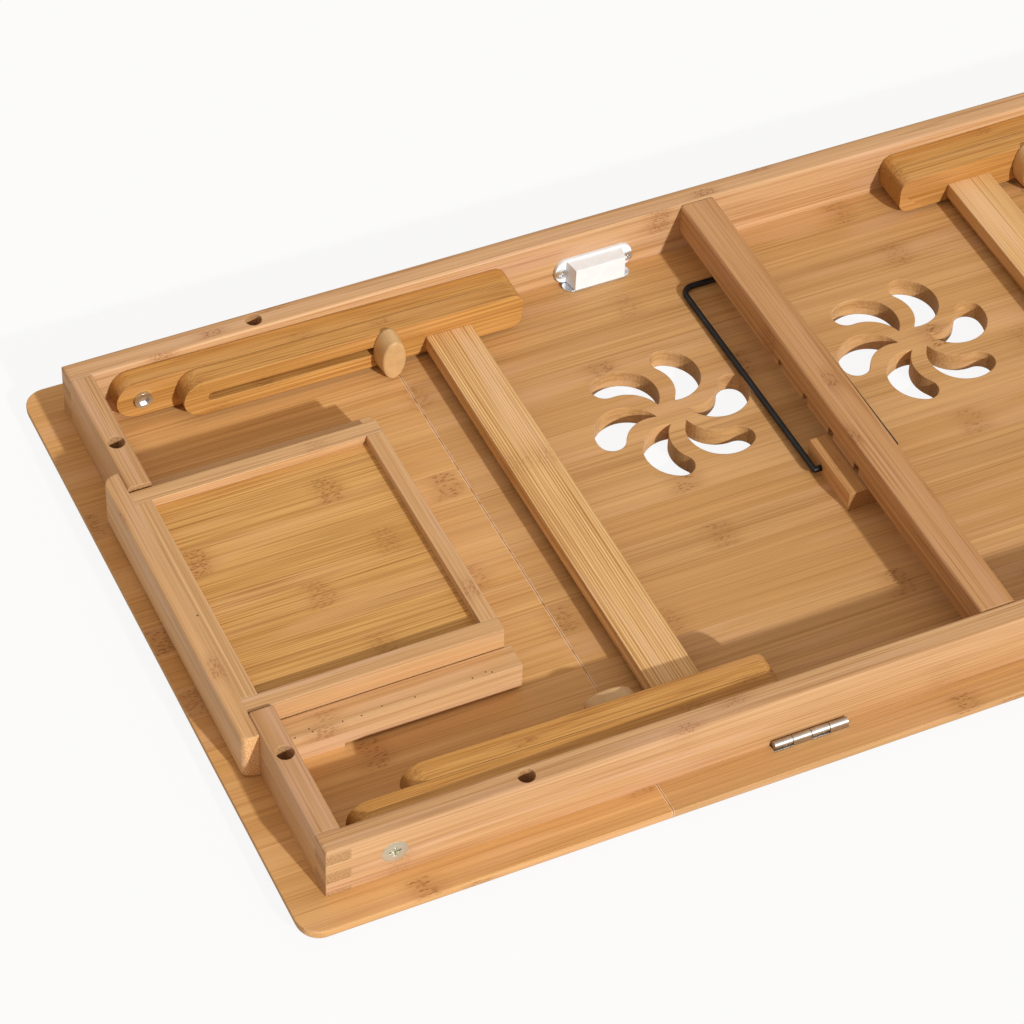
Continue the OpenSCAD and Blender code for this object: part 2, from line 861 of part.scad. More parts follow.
module leg_upper(side, back) {
    color(WOOD)
    at_back(back) in_leg(side)
    difference() {
        along_y(upper_in, upper_out) board_outline(-upper_tail, leg_reach);
        rod_y(upper_in - over, upper_out + over, sleeve_d / 2 + fit);
        translate([bolt_at, 0, 0]) {
            rod_y(upper_in - over, upper_out + over, bolt_d / 2 + fit);
            rod_y(upper_out - bolt_head_t - seat, upper_out + over, bolt_head_d / 2 + seat);
        }
    }
}

module leg_lower(side, back) {
    color(WOOD)
    at_back(back) in_leg(side)
    difference() {
        along_y(lower_in, lower_out) board_outline(lower_start, leg_reach);
        along_y(lower_in - over, lower_out + over) slot_outline();
    }
}

module leg_stretcher(side) {
    color(WOOD)
    in_leg(side) translate([stretcher_at, -lower_in, -stretcher_t]) cube([stretcher_w, 2 * lower_in, stretcher_t]);
}

module clamp_bolts(side) {
    color(STEEL)
    both_rails() in_leg(side) translate([bolt_at, 0, 0]) {
        rod_y(lower_in - knob_h * 0.6, upper_out - seat, bolt_d / 2);
        rod_y(upper_out - bolt_head_t, upper_out - seat, bolt_head_d / 2);
    }
}

knob_sides = 36;

// Oval outline of the knob at height z, drawn in by inset
function knob_ring(inset, z) =
    [for (i = [0 : knob_sides - 1]) let (a = i * 360 / knob_sides)
        [(knob_l / 2 - inset) * cos(a), (knob_w / 2 - inset) * sin(a), z]];

// Rings from the foot up the tapering side and round the top's edge
function knob_rings() =
    let (shoulder = knob_h - knob_round)
    concat(
        [knob_ring(0, 0)],
        [for (a = [0 : 30 : 90])
            knob_ring(knob_taper + knob_round * (1 - cos(a)), shoulder + knob_round * sin(a))]
    );

// Solid through rings of equally many points, each anticlockwise from above
module loft(rings) {
    n = len(rings[0]);
    top = (len(rings) - 1) * n;
    polyhedron(
        points = [for (ring = rings) each ring],
        faces = concat(
            [[for (i = [0 : n - 1]) i]],
            [[for (i = [n - 1 : -1 : 0]) top + i]],
            [for (low = [0 : n : top - n]) for (i = [0 : n - 1]) [low + i, low + n + i, low + n + (i + 1) % n]],
            [for (low = [0 : n : top - n]) for (i = [0 : n - 1])
                [low + i, low + n + (i + 1) % n, low + (i + 1) % n]]
        )
    );
}

// Knob that stands on z = 0 with its long axis along x
module knob_shape() {
    difference() {
        loft(knob_rings());
        translate([0, 0, -over]) cylinder(h = knob_h * 0.6 + over, d = bolt_d + 2 * fit);
    }
}

// turn is the angle of the grip from the leg's length
module knob(side, back, turn) {
    color(WOOD_DARK)
    at_back(back) in_leg(side)
    translate([bolt_at, lower_in - clear, 0]) rotate([90, 0, 0]) rotate([0, 0, turn]) knob_shape();
}

// Axis of a back leg's pivot, seen along Y
module at_pivot() {
    translate([-pivot_x, 0, pivot_z]) children();
}

cross_w = 6; // across the cross recess of a pivot screw
cross_depth = 2;
hex_w = 5; // across the flats of a sleeve nut's socket
hex_depth = 1.3;

// Cross recess for a screwdriver in the face at z = 0, sinking along z
module cross_recess(w, depth) {
    blade = w / 4;
    for (turn = [0, 90]) rotate([0, 0, turn]) translate([-w / 2, -blade / 2, -over]) cube([w, blade, depth + over]);
}

module pivot_holes() {
    both_rails() at_pivot() {
        rod_y(inner_d / 2 - over, inner_d / 2 + sleeve_bite, sleeve_d / 2 + fit);
        rod_y(inner_d / 2, frame_d / 2, pivot_shank_d / 2 + fit);
        translate([0, frame_d / 2, 0]) rotate([90, 0, 0])
            cylinder(h = pivot_head_h, d1 = pivot_head_d + 2 * fit, d2 = pivot_shank_d + 2 * fit);
    }
}

module pivot_screws() {
    color(STEEL)
    both_sides() both_rails() at_pivot()
    difference() {
        union() {
            rod_y(upper_in + leg_t / 2, frame_d / 2 - pivot_head_h / 2, pivot_shank_d / 2);
            translate([0, frame_d / 2, 0]) rotate([90, 0, 0])
                cylinder(h = pivot_head_h, d1 = pivot_head_d, d2 = pivot_shank_d);
        }
        translate([0, frame_d / 2, 0]) rotate([90, 0, 0]) cross_recess(cross_w, cross_depth);
    }
}

module sleeve_nuts() {
    color(STEEL)
    both_sides() both_rails() at_pivot()
    difference() {
        union() {
            rod_y(upper_in - seat, inner_d / 2 + sleeve_bite - seat, sleeve_d / 2);
            rod_y(upper_in - seat - sleeve_head_t, upper_in - seat, sleeve_head_d / 2);
        }
        rod_y(upper_in + leg_t / 2 - seat, frame_d, pivot_shank_d / 2 + fit);
        rod_y(upper_in - sleeve_head_t - over, upper_in - seat - sleeve_head_t + hex_depth, hex_w / sqrt(3), $fn = 6);
    }
}

// ---- drawer --------------------------------------------------------------

// Frame of the drawer and its runners: y from the middle of the drawer's gap
module at_drawer() {
    translate([0, drawer_y, 0]) children();
}

// Plan of one half of the face board, y towards its rounded end
module face_plan(r) {
    half = face_w / 2;
    translate([r, 0]) square([face_t - r, half]);
    square([face_t, half - r]);
    intersection() {
        translate([r, half - r]) circle(r = r);
        square([r, half]);
    }
}

// Front view of the face board, with its middle at x = 0
module face_elevation() {
    run = face_w / 2 - face_corner_r;
    translate([-face_w / 2, face_corner_r]) square([face_w, drawer_h - face_corner_r]);
    translate([-run, 0]) square([2 * run, drawer_h]);
    for (s = [-1, 1]) translate([s * run, face_corner_r]) circle(r = face_corner_r);
}

module drawer_face() {
    color(WOOD)
    at_drawer() translate([drawer_x - face_t, 0, drawer_z])
    intersection() {
        linear_extrude(drawer_h) {
            face_plan(face_back_r);
            mirror([0, 1]) face_plan(face_front_r);
        }
        translate([-over, 0, 0]) along_x(0, face_t + 2 * over) face_elevation();
    }
}

// Space that the bottom takes in the walls and between them
module bottom_slab(grow) {
    bite = drawer_wall - bottom_bite - grow;
    translate([drawer_x + bite, -drawer_w / 2 + bite, drawer_z + drawer_h - bottom_in - bottom_t - grow])
        cube([drawer_l - 2 * bite, drawer_w - 2 * bite, bottom_t + 2 * grow]);
}

module drawer_side(back) {
    color(WOOD)
    at_drawer()
    difference() {
        at_back(back) translate([drawer_x, drawer_w / 2 - drawer_wall, drawer_z])
            cube([drawer_l, drawer_wall, drawer_h]);
        bottom_slab(seat);
        at_back(back) translate([drawer_x + rail_t - clear, runner_in - tongue_w - clear, groove_z - clear])
            cube([drawer_l, far, tongue_h + 2 * clear]);
    }
}

module drawer_cross(x) {
    at_drawer()
    difference() {
        translate([x, -drawer_w / 2 + drawer_wall, drawer_z])
            cube([drawer_wall, drawer_w - 2 * drawer_wall, drawer_h]);
        bottom_slab(seat);
    }
}

module drawer_box_front() {
    color(WOOD) drawer_cross(drawer_x);
}

module drawer_back() {
    color(WOOD) drawer_cross(drawer_x + drawer_l - drawer_wall);
}

module drawer_bottom() {
    color(WOOD_DARK) at_drawer() bottom_slab(0);
}

module runner(back) {
    x = drawer_x + rail_t;
    color(WOOD)
    at_drawer() at_back(back)
    difference() {
        union() {
            translate([x, runner_in, top_t]) cube([runner_l, runner_w, runner_h]);
            translate([x, runner_in - tongue_w, groove_z]) cube([runner_l, tongue_w + over, tongue_h]);
        }
        translate([x + runner_l / 4, runner_in + runner_w - rebate, top_t - over])
            cube([runner_l, rebate + over, rebate + over]);
    }
}

// ---- the pieces ----------------------------------------------------------

top_fixed(-1);  // top_fixed_left
top_tilting();
top_fixed(1);  // top_fixed_right
rail_front();
rail_back();
left_stub(false);  // rail_left_front_stub
left_stub(true);  // rail_left_back_stub
rail_right();
crossbar();
frame_screws();
hinge_frame_leaves();
hinge_panel_leaves();
hinge_pins();
hinge_frame_screws();
hinge_panel_screws();
catch_body();
catch_magnet();
catch_screws();
strike_plate();
strike_screws();
pivot_block();
bail();
leg_upper(-1, false);  // leg_left_front_upper
leg_upper(-1, true);  // leg_left_back_upper
leg_lower(-1, false);  // leg_left_front_lower
leg_lower(-1, true);  // leg_left_back_lower
leg_stretcher(-1);  // leg_left_stretcher
clamp_bolts(-1);  // clamp_bolts_left
knob(-1, false, 0);  // knob_left_front
knob(-1, true, 90);  // knob_left_back
leg_upper(1, false);  // leg_right_front_upper
leg_upper(1, true);  // leg_right_back_upper
leg_lower(1, false);  // leg_right_front_lower
leg_lower(1, true);  // leg_right_back_lower
leg_stretcher(1);  // leg_right_stretcher
clamp_bolts(1);  // clamp_bolts_right
knob(1, false, 0);  // knob_right_front
knob(1, true, 90);  // knob_right_back
pivot_screws();
sleeve_nuts();
drawer_face();
drawer_box_front();
drawer_side(false);  // drawer_side_front
drawer_side(true);  // drawer_side_back
drawer_back();
drawer_bottom();
runner(false);  // runner_front
runner(true);  // runner_back
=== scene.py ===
import math

import bmesh
import bpy
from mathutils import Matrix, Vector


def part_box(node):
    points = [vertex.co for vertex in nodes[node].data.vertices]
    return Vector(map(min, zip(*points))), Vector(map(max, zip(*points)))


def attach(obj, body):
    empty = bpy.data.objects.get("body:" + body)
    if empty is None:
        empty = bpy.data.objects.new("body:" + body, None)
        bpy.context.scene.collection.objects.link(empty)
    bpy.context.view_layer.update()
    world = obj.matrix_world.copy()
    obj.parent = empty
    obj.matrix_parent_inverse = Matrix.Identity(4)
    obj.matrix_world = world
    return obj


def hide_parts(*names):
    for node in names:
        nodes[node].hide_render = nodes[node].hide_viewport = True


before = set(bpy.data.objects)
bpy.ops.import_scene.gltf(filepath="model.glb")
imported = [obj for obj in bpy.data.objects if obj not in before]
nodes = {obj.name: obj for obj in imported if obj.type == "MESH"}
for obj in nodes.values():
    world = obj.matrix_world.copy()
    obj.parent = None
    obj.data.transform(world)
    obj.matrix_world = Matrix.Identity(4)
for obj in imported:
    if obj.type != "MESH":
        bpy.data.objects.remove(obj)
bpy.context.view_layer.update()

# ---- Camera ----------------------------------------------------------------
# The table is seen from its front left corner, from a little above, through a
# long lens. The frame is square and is cropped at the table's right end.
camera_place = (-0.6883, -1.0368, 1.2217)
camera_turn = (44.108, -1.754, -24.839)  # degrees
bpy.ops.object.camera_add(location=camera_place, rotation=[math.radians(a) for a in camera_turn])
camera = bpy.context.object
camera.data.lens = 128.82
camera.data.sensor_width = 36.0
camera.data.clip_start = 0.05
bpy.context.scene.camera = camera


# ---- Top panels ------------------------------------------------------------
# Two fixed boards and the tilting one between them, glued up from flat bamboo
# strips that run along the table, caramel coloured, under a satin lacquer.
class Socket:
    """A socket of a material's nodes, so that shader maths reads as a formula."""

    def __init__(self, tree, link=None):
        self.tree = tree
        self.link = link

    def node(self, kind, inputs=None, take=0, **settings):
        """Adds a node with its settings, then the values or links of its inputs."""
        new = self.tree.nodes.new("ShaderNode" + kind)
        for key, value in settings.items():
            setattr(new, key, value)
        for key, value in (inputs or {}).items():
            if isinstance(value, Socket):
                self.tree.links.new(value.link, new.inputs[key])
            else:
                new.inputs[key].default_value = value
        return Socket(self.tree, new.outputs[take])

    def maths(self, operation, *others):
        return self.node("Math", dict(enumerate((self, *others))), operation=operation)

    def __add__(self, other):
        return self.maths("ADD", other)

    def __radd__(self, other):
        return self.maths("ADD", other)

    def __sub__(self, other):
        return self.maths("SUBTRACT", other)

    def __rsub__(self, other):
        return self.maths("MULTIPLY", -1.0) + other

    def __mul__(self, other):
        return self.maths("MULTIPLY", other)

    def __rmul__(self, other):
        return self.maths("MULTIPLY", other)

    def __truediv__(self, other):
        return self.maths("DIVIDE", other)

    def ease(self, low, high):
        """0 at low, 1 at high, with a soft passage between."""
        spans = {0: self, 1: low, 2: high, 3: 0.0, 4: 1.0}
        return self.node("MapRange", spans, interpolation_type="SMOOTHSTEP")

    def blend(self, first, second):
        """Mixes two colours by this factor."""
        return self.node("Mix", {0: self, 6: first, 7: second}, take=2, data_type="RGBA")

    def noise(self, vector, detail=2.0):
        """Noise on coordinates that are already scaled."""
        return self.node("TexNoise", {"Vector": vector, "Scale": 1.0, "Detail": detail})


def new_material(name):
    """A material, its empty Principled shader, and a socket to start its nodes from."""
    material = bpy.data.materials.new(name)
    material.use_nodes = True
    shader = material.node_tree.nodes["Principled BSDF"]
    return material, shader, Socket(material.node_tree)


def plug(shader, **inputs):
    """Feeds the shader's inputs; Base_Color stands for Base Color."""
    for name, socket in inputs.items():
        socket.tree.links.new(socket.link, shader.inputs[name.replace("_", " ")])


def dress(material, *names):
    """Gives CAD nodes their material."""
    for name in names:
        mesh = nodes[name].data
        mesh.materials.clear()
        mesh.materials.append(material)


def toned(color, red, green, blue):
    """The colour with its channels scaled, as a shader's input takes it."""
    return (color[0] * red, color[1] * green, color[2] * blue, 1.0)


def bamboo(name, along, strips, light, dark, fibre=1.0, bands=1.2, vary=1.0,
           grain=(0.19, 0.0012), ribs=None, node_every=0.26, node_at=None,
           dash=(0.0030, 0.0010), knot=1.0, ends=0.72, seam=None, start=0.0):
    """Laminated bamboo on Object coordinates, all lengths in metres.

    along: the grain's axis, 0 X, 1 Y or 2 Z
    strips: the glued strips' sizes on the other two axes
    light, dark: the colours of the wood and of its streaks
    fibre, grain: the streaks' strength, and their length and width
    bands, vary: how much soft bands show, and how much the strips' tones differ
    ribs: the spacing of the even lines on an edge-grained board
    node_every, node_at: the culm nodes' spacing in a strip, or the one place they are at
    dash, knot: the length and width of the marks at a node, and their strength
    ends: how pale the sawn ends are
    seam: the distance from the middle to two seams whose edges are painted paler, partly bare
    wood and partly painted highlight
    start: where along the culm the board is cut
    """
    material, shader, s = new_material(name)
    place = s.node("TexCoord", take=3)
    axes = [s.node("SeparateXYZ", {0: place}, take=i) for i in range(3)]
    u = axes[along] + start
    v, w = [axes[i] for i in range(3) if i != along]
    normal = s.node("TexCoord", take=1)
    end_grain = s.node("SeparateXYZ", {0: normal}, take=along).maths("ABSOLUTE").ease(0.75, 0.9)

    def across(length, width, shift=0.0):
        """Coordinates for a pattern of this length and width, shifted for each strip."""
        return s.node("CombineXYZ", {0: u / length + shift, 1: v / width, 2: w / width + shift})

    # each strip is its own slat of culm, with its own tone, and its edges sway
    strip_sway = 0.002
    sway = (s.noise(across(0.3, 0.5), 0.0) - 0.5) * strip_sway
    row_v = (v + sway) / strips[0] + 0.37
    row_w = w / strips[1] + 0.21
    cell = s.node("CombineXYZ", {0: row_v.maths("FLOOR"), 1: row_w.maths("FLOOR"), 2: start})
    chance = s.node("TexWhiteNoise", {0: cell}, take=0)
    chance_2 = s.node("TexWhiteNoise", {0: cell, 1: 7.0}, take=0, noise_dimensions="4D")

    # fibres: soft bands, streaks, fine hair and thin dark bundles
    band = s.noise(across(0.5, 0.0065, chance * 40.0))
    streak = s.noise(across(*grain, chance * 70.0))
    hair = s.noise(across(0.06, 0.0005, chance_2 * 30.0), 1.0)
    bundle = s.noise(across(0.08, 0.0009, chance_2 * 50.0), 1.0).ease(0.58, 0.70)
    tone = ((band - 0.5) * bands + (streak - 0.5) * (2.2 * fibre)
            + (hair - 0.5) * (1.6 * fibre) + 0.5)
    if ribs:
        swing = s.noise(across(0.16, 0.004), 1.0)
        rib_place = v + sway * 0.6 + swing * (ribs * 1.5)
        tone = tone + (rib_place * (math.tau / ribs)).maths("SINE") * swing * 0.7

    # a node of the culm in each strip: short wavy dashes on a darker patch, in a bow
    if node_at is None:
        run = u / node_every + chance * 13.0
        off = (run - run.maths("FLOOR") - 0.5) * node_every
    else:
        off = u - (node_at + start)
    across_strip = row_v - row_v.maths("FLOOR") - 0.5
    bow = across_strip * across_strip * 0.012
    wave = s.noise(across(0.006, 0.004), 1.0) - 0.5
    off = (off + bow + wave * 0.006).maths("ABSOLUTE")
    inside_strip = across_strip.maths("ABSOLUTE").ease(0.48, 0.36)
    dash_length, dash_width = dash
    dash_place = s.node("CombineXYZ", {0: (u + wave * 0.004) / dash_length,
                                       1: (v + wave * 0.003) / dash_width, 2: w / dash_width})
    dash_far = s.node("TexVoronoi", {"Vector": dash_place, "Scale": 1.0, "Randomness": 0.8})
    dash_reach, patch_reach = 0.0072, 0.014
    dashes = dash_far.ease(0.56, 0.2) * off.ease(dash_reach, 0.0030)
    patch = off.ease(patch_reach, 0.001)
    mark = (dashes * 0.6 + patch * 0.3) * inside_strip * (chance_2 * 0.6 + 0.4) * knot

    # the strips' tones, pinkish patches of painted lacquer sheen, and the brown of bundles and
    # nodes
    brown = toned(dark, 0.66, 0.50, 0.42)
    painted_sheen = s.noise(across(0.09, 0.012, chance * 9.0), 1.0).ease(0.50, 0.72)
    toasted = chance.ease(0.45, 1.0) * (0.5 * vary)
    pale = chance_2.ease(0.6, 1.0) * (0.4 * vary)
    color = tone.blend((*dark, 1.0), (*light, 1.0))
    color = toasted.blend(color, toned(light, 0.84, 0.76, 0.64))
    color = pale.blend(color, toned(light, 1.06, 1.08, 1.2))
    # pale pinkish patches of painted sheen on the lacquer
    color = (painted_sheen * 0.4).blend(color, toned(light, 1.0, 1.0, 1.35))
    color = (bundle * (0.4 * fibre)).blend(color, brown)
    color = mark.blend(color, brown)

    # a seam's two edges are painted paler here and there: partly wood sanded through the
    # lacquer, partly painted highlight
    if seam:
        seam_wear_and_highlight = (0.90, 0.62, 0.42, 1.0)
        beside = ((u - start).maths("ABSOLUTE") - seam).maths("ABSOLUTE").ease(0.0009, 0.0003)
        seam_spots = s.noise(s.node("CombineXYZ", {0: 0.0, 1: v / 0.006, 2: 0.0})).ease(0.32, 0.55)
        color = (beside * seam_spots * 0.75).blend(color, seam_wear_and_highlight)

    # glue lines between strips, and the pores of the sawn ends
    glue = across_strip.maths("ABSOLUTE").ease(0.482, 0.499)
    color = (glue * 0.25).blend(color, brown)
    pores_per_metre = 1500.0
    pore_place = s.node("CombineXYZ", {0: v * pores_per_metre, 1: w * pores_per_metre, 2: 0.0})
    walls = s.noise(pore_place, 1.0).ease(0.38, 0.58) * 0.8 + 0.2
    end_color = walls.blend(toned(dark, ends * 0.85, ends * 0.8, ends * 0.75),
                            toned(light, ends, ends * 0.95, ends * 0.9))
    color = (end_grain * 0.95).blend(color, end_color)

    # arrises are eased by sanding and painted a little paler: partly sanding wear, partly
    # painted highlight
    eased = s.node("Bevel", {"Radius": 0.0008}, samples=4)
    true_normal = s.node("NewGeometry", take=1)
    level = s.node("VectorMath", {0: eased, 1: true_normal}, take=1, operation="DOT_PRODUCT")
    wear_and_highlight = level.ease(0.999, 0.93)
    color = (wear_and_highlight * 0.45).blend(color, toned(light, 1.12, 1.18, 1.35))

    # satin lacquer over the open grain
    height = (streak * 0.6 + hair * 0.4) * (1.0 - end_grain) - dashes * 0.7 - bundle * 0.4
    bump = s.node("Bump", {"Strength": 0.35, "Distance": 0.0002, "Height": height,
                           "Normal": eased})
    rough = 0.52 - (streak - 0.5) * 0.25 + mark * 0.1 + end_grain * 0.15
    plug(shader, Base_Color=color, Roughness=rough, Normal=bump)
    shader.inputs["Specular IOR Level"].default_value = 0.25
    return material


panel_strips = (0.0195, 0.0048)
seam_from_middle = (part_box("top_tilting")[1].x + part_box("top_fixed_right")[0].x) / 2
panel_light = (0.66, 0.388, 0.158)
panel_dark = (0.404, 0.204, 0.065)
panel_wood = bamboo("bamboo_panel", 0, panel_strips, panel_light, panel_dark, fibre=0.55,
                    bands=1.0, seam=seam_from_middle)
dress(panel_wood, "top_tilting", "top_fixed_right")
left_light = (0.755, 0.45, 0.178)
left_dark = (0.465, 0.222, 0.065)
left_wood = bamboo("bamboo_panel_left", 0, panel_strips, left_light, left_dark, fibre=0.55,
                   bands=1.0, seam=seam_from_middle)
dress(left_wood, "top_fixed_left")

# ---- Frame -----------------------------------------------------------------
# Four rails with finger joints at the corners and a notched bar across, planed
# from paler bamboo, with the upper edges rounded, lacquered like the top.
rail_light = (0.63, 0.392, 0.195)
rail_dark = (0.435, 0.228, 0.091)
rail_strips = (0.0058, 0.031)
rail_dots = (0.0013, 0.0010)
long_rail_wood = bamboo("bamboo_rail_long", 0, rail_strips, rail_light, rail_dark,
                        dash=rail_dots, ends=0.78, start=0.31)
dress(long_rail_wood, "rail_front", "rail_back")
end_rail_wood = bamboo("bamboo_rail_end", 1, rail_strips, rail_light, rail_dark,
                       dash=rail_dots, ends=0.78, start=0.17)
dress(end_rail_wood, "rail_left_front_stub", "rail_left_back_stub", "rail_right")
bar_light = (0.575, 0.325, 0.142)
bar_dark = (0.383, 0.183, 0.064)
bar_wood = bamboo("bamboo_crossbar", 1, (0.0095, 0.02), bar_light, bar_dark, fibre=1.2,
                  start=0.52)
dress(bar_wood, "crossbar")


# ---- Screws, plates and hinges ---------------------------------------------
# Zinc-plated steel for the screws, sleeve nuts, clamp bolts and strike plate,
# a duller yellowish zinc for the leg pivots, and nickel for the two hinges.
def metal(name, color, rough, grain=400.0):
    """Plated or painted metal with a faint unevenness; grain counts its specks per metre."""
    material, shader, s = new_material(name)
    place = s.node("TexCoord", take=3)
    wear = s.node("TexNoise", {"Vector": place, "Scale": grain, "Detail": 3.0})
    cloud = s.node("TexNoise", {"Vector": place, "Scale": grain * 0.2, "Detail": 2.0})
    tint = cloud.ease(0.3, 0.7).blend((*color, 1.0), toned(color, 0.8, 0.78, 0.74))
    eased = s.node("Bevel", {"Radius": 0.0002}, samples=4)
    bump = s.node("Bump", {"Strength": 0.1, "Distance": 0.0001, "Height": wear, "Normal": eased})
    plug(shader, Base_Color=tint, Roughness=rough + wear * 0.12, Normal=bump)
    shader.inputs["Metallic"].default_value = 1.0
    return material


dress(metal("zinc_plate", (0.78, 0.83, 0.88), 0.24), "frame_screws", "catch_screws",
      "strike_plate", "strike_screws", "sleeve_nuts", "clamp_bolts_left", "clamp_bolts_right")
dress(metal("nickel_hinge", (0.54, 0.51, 0.47), 0.28), "hinge_frame_leaves",
      "hinge_panel_leaves", "hinge_pins", "hinge_frame_screws", "hinge_panel_screws")
dress(metal("zinc_dull", (0.76, 0.77, 0.66), 0.42), "pivot_screws")


# ---- Magnetic catch --------------------------------------------------------
# A white moulded housing with two ears, screwed to the back rail. Its magnet
# looks out of the underside and holds the strike plate on the tilting panel.
def moulded(name, color, rough, speck):
    """Moulded plastic with soft edges; speck is how much its mottling darkens it."""
    material, shader, s = new_material(name)
    place = s.node("TexCoord", take=3)
    mottle = s.node("TexNoise", {"Vector": place, "Scale": 260.0, "Detail": 3.0})
    grain = s.node("TexNoise", {"Vector": place, "Scale": 2500.0, "Detail": 2.0})
    shade = 1.0 - speck * 2.0
    tint = mottle.ease(0.35, 0.65).blend((*color, 1.0), toned(color, shade, shade, shade))
    eased = s.node("Bevel", {"Radius": 0.0008}, samples=6)
    bump = s.node("Bump", {"Strength": 0.08, "Distance": 0.0001, "Height": grain,
                           "Normal": eased})
    plug(shader, Base_Color=tint, Roughness=rough + mottle * 0.1, Normal=bump)
    return material


dress(moulded("white_catch", (0.82, 0.88, 0.93), 0.32, 0.02), "catch_body")
dress(metal("magnet_block", (0.30, 0.29, 0.28), 0.4), "catch_magnet")

# ---- Prop bail -------------------------------------------------------------
# A loop of black wire that turns in a block of bamboo, glued under the tilting
# panel. Its far end hooks into the crossbar's notches.
block_light = (0.62, 0.35, 0.14)
block_dark = (0.43, 0.205, 0.068)
dress(bamboo("bamboo_block", 1, (0.007, 0.012), block_light, block_dark, start=0.05),
      "pivot_block")
dress(metal("black_wire", (0.035, 0.034, 0.033), 0.38), "bail")

# ---- Legs ------------------------------------------------------------------
# Each leg is two boards side by side: the outer turns on the rail, the inner
# slides along it on its slot. A broad stretcher joins the two inner boards.
leg_light = (0.61, 0.327, 0.094)
leg_dark = (0.404, 0.181, 0.04)
leg_wood = bamboo("bamboo_leg", 0, (0.0053, 0.0105), leg_light, leg_dark, fibre=1.2, start=0.73)
for side in ("left", "right"):
    for end in ("front", "back"):
        dress(leg_wood, f"leg_{side}_{end}_upper", f"leg_{side}_{end}_lower")
stretcher_light = (0.81, 0.54, 0.25)
stretcher_dark = (0.485, 0.245, 0.075)
stretcher_wood = bamboo("bamboo_stretcher", 1, (0.05, 0.02), stretcher_light, stretcher_dark,
                        fibre=1.0, bands=0.6, grain=(0.2, 0.0005), ribs=0.0014,
                        node_at=0.0315, knot=0.6, start=0.11)
dress(stretcher_wood, "leg_left_stretcher", "leg_right_stretcher")


# ---- Pins ------------------------------------------------------------------
# Steel pins through the edge of each sliding board hold the stretcher's ends.
# Their heads end a quarter of a millimetre under the board's surface.
def pins(name, body, radius, places, material):
    """Round pins with a slightly domed head; each place is where the pin meets the surface."""
    depth = radius * 2.0
    sunk = depth * 0.45  # leaves a twentieth of the pin above its place
    bpy.ops.object.select_all(action="DESELECT")
    bpy.ops.mesh.primitive_cylinder_add(vertices=16, radius=radius, depth=depth)
    first = bpy.context.object
    bpy.ops.object.mode_set(mode="EDIT")
    shape = bmesh.from_edit_mesh(first.data)
    for face in shape.faces:
        face.select_set(face.normal.z > 0.9)
    bmesh.update_edit_mesh(first.data)
    bpy.ops.mesh.inset(thickness=radius * 0.3)
    bpy.ops.transform.translate(value=(0.0, 0.0, radius * 0.15))
    bpy.ops.object.mode_set(mode="OBJECT")
    x, y, z = places[0]
    first.location = (x, y, z - sunk)
    for x, y, z in places[1:]:
        copy = first.copy()
        copy.data = first.data.copy()
        copy.location = (x, y, z - sunk)
        bpy.context.collection.objects.link(copy)
        copy.select_set(True)
    if len(places) > 1:
        bpy.ops.object.join()
    bpy.ops.object.transform_apply(location=True)
    first.name = name
    first.data.name = name
    bpy.ops.object.shade_smooth_by_angle(angle=math.radians(40.0))
    first.data.materials.append(material)
    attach(first, body)


pin_steel = metal("pin_steel", (0.16, 0.12, 0.09), 0.5)
pin_y = 0.1336
pin_tops = ((0.1499, 0.03213), (0.1406, 0.03199))  # each pin's distance from the middle, and Z
for side, sign in (("left", -1), ("right", 1)):
    tops = [(sign * x, y, z) for x, z in pin_tops for y in (-pin_y, pin_y)]
    pins(f"leg_{side}_pins", f"leg_{side}_extension", 0.0009, tops, pin_steel)

# ---- Clamp knobs -----------------------------------------------------------
# Oval thumb knobs moulded in tan plastic; each one screws onto the bolt that
# clamps a sliding board.
knob_tan = moulded("knob_tan", (0.60, 0.375, 0.165), 0.4, 0.05)
dress(knob_tan, "knob_left_front", "knob_left_back", "knob_right_front", "knob_right_back")

# ---- Drawer ----------------------------------------------------------------
# A small box of pale bamboo with a thin bottom let into its walls and a face
# board in front. It hangs upside down here, between two grooved runners.
drawer_light = (0.69, 0.438, 0.221)
drawer_dark = (0.479, 0.266, 0.108)
drawer_long = bamboo("bamboo_drawer_long", 0, (0.008, 0.024), drawer_light, drawer_dark,
                     start=0.9)
dress(drawer_long, "drawer_side_front", "drawer_side_back", "runner_front", "runner_back")
drawer_cross = bamboo("bamboo_drawer_cross", 1, (0.0075, 0.012), drawer_light, drawer_dark,
                      ends=1.2, start=0.44)
dress(drawer_cross, "drawer_face", "drawer_box_front", "drawer_back")
bottom_light = (0.69, 0.398, 0.13)
bottom_dark = (0.435, 0.216, 0.054)
bottom_wood = bamboo("bamboo_drawer_bottom", 0, (0.0195, 0.05), bottom_light, bottom_dark,
                     fibre=1.4, bands=0.5, vary=0.5, grain=(0.12, 0.0006), node_every=0.17,
                     start=1.3)
dress(bottom_wood, "drawer_bottom")

# ---- Drawer face -----------------------------------------------------------
# A planed board of pale bamboo, glued to the box. Its edges are rounded on the
# outside: most at the back end, then beside the top, least at the free edge.
# It reaches further down beside the top than the CAD node it replaces.
face_low, face_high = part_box("drawer_face")
face_low.z -= 0.001
bpy.ops.object.select_all(action="DESELECT")
bpy.ops.mesh.primitive_cube_add(size=1.0,
                                location=[(a + b) / 2 for a, b in zip(face_low, face_high)],
                                scale=[b - a for a, b in zip(face_low, face_high)])
face_board = bpy.context.object
face_board.name = "drawer_face_board"
face_board.data.name = "drawer_face_board"
bpy.ops.object.transform_apply(location=True, scale=True)


